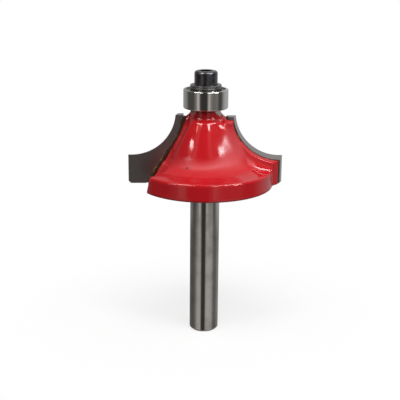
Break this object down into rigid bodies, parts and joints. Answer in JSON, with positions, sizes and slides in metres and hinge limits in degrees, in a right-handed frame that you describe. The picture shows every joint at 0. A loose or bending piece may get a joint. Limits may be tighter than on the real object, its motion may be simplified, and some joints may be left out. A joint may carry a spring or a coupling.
{
  "type": "router bit",
  "caption": "Cove router bit with brazed carbide tips on a red enamelled steel body, a plain shank, and a ball bearing pilot held by a cap screw.",
  "frame": {"origin": "centre of the shank's free end", "axes": "+Z along the cutter's axis, from the shank to the screw; +X out along the first cutting edge, whose rake face looks along +Y"},
  "size_m": [0.033, 0.029, 0.0581],
  "materials": {
    "red_enamel": "gloss enamel, with a bare ground shank",
    "carbide": "ground carbide, dark grey",
    "braze": "darkened solder",
    "bearing_steel": "polished",
    "shield_steel": "satin, dark",
    "cage_steel": "pressed",
    "washer_steel": "satin",
    "black_oxide": "black oxide"
  },
  "bodies": {
    "cutter": {"cutter_body": "red_enamel", "carbide_tip_1": "carbide", "carbide_tip_2": "carbide", "braze_seam_1": "braze", "braze_seam_2": "braze", "bearing_inner_ring": "bearing_steel", "dust_washer": "washer_steel", "screw_washer": "washer_steel", "cap_screw": "black_oxide"},
    "bearing_ring": {"bearing_outer_ring": "bearing_steel", "bearing_shield_lower": "shield_steel", "bearing_shield_upper": "shield_steel"},
    "cage": {"bearing_cage": "cage_steel"},
    "ball_1": {"bearing_ball_1": "bearing_steel"},
    "ball_2": {"bearing_ball_2": "bearing_steel"},
    "ball_3": {"bearing_ball_3": "bearing_steel"},
    "ball_4": {"bearing_ball_4": "bearing_steel"},
    "ball_5": {"bearing_ball_5": "bearing_steel"},
    "ball_6": {"bearing_ball_6": "bearing_steel"},
    "ball_7": {"bearing_ball_7": "bearing_steel"},
    "ball_8": {"bearing_ball_8": "bearing_steel"}
  },
  "joints": [
    {"name": "bearing_spin", "type": "hinge", "parent": "cutter", "child": "bearing_ring", "pos_m": [0, 0, 0.05229], "axis": [0, 0, 1], "continuous": true},
    {"name": "cage_orbit", "type": "hinge", "parent": "cutter", "child": "cage", "pos_m": [0, 0, 0.05229], "axis": [0, 0, 1], "continuous": true},
    {"name": "ball_1_roll", "type": "hinge", "parent": "cage", "child": "ball_1", "pos_m": [0.0033, 0.00137, 0.05229], "axis": [0, 0, 1], "continuous": true},
    {"name": "ball_2_roll", "type": "hinge", "parent": "cage", "child": "ball_2", "pos_m": [0.00137, 0.0033, 0.05229], "axis": [0, 0, 1], "continuous": true},
    {"name": "ball_3_roll", "type": "hinge", "parent": "cage", "child": "ball_3", "pos_m": [-0.00137, 0.0033, 0.05229], "axis": [0, 0, 1], "continuous": true},
    {"name": "ball_4_roll", "type": "hinge", "parent": "cage", "child": "ball_4", "pos_m": [-0.0033, 0.00137, 0.05229], "axis": [0, 0, 1], "continuous": true},
    {"name": "ball_5_roll", "type": "hinge", "parent": "cage", "child": "ball_5", "pos_m": [-0.0033, -0.00137, 0.05229], "axis": [0, 0, 1], "continuous": true},
    {"name": "ball_6_roll", "type": "hinge", "parent": "cage", "child": "ball_6", "pos_m": [-0.00137, -0.0033, 0.05229], "axis": [0, 0, 1], "continuous": true},
    {"name": "ball_7_roll", "type": "hinge", "parent": "cage", "child": "ball_7", "pos_m": [0.00137, -0.0033, 0.05229], "axis": [0, 0, 1], "continuous": true},
    {"name": "ball_8_roll", "type": "hinge", "parent": "cage", "child": "ball_8", "pos_m": [0.0033, -0.00137, 0.05229], "axis": [0, 0, 1], "continuous": true}
  ],
  "couplings": [
    {"joint": "cage_orbit", "follows": "bearing_spin", "ratio": 0.6111},
    {"joint": "ball_1_roll", "follows": "bearing_spin", "ratio": 2.1389},
    {"joint": "ball_2_roll", "follows": "bearing_spin", "ratio": 2.1389},
    {"joint": "ball_3_roll", "follows": "bearing_spin", "ratio": 2.1389},
    {"joint": "ball_4_roll", "follows": "bearing_spin", "ratio": 2.1389},
    {"joint": "ball_5_roll", "follows": "bearing_spin", "ratio": 2.1389},
    {"joint": "ball_6_roll", "follows": "bearing_spin", "ratio": 2.1389},
    {"joint": "ball_7_roll", "follows": "bearing_spin", "ratio": 2.1389},
    {"joint": "ball_8_roll", "follows": "bearing_spin", "ratio": 2.1389}
  ]
}
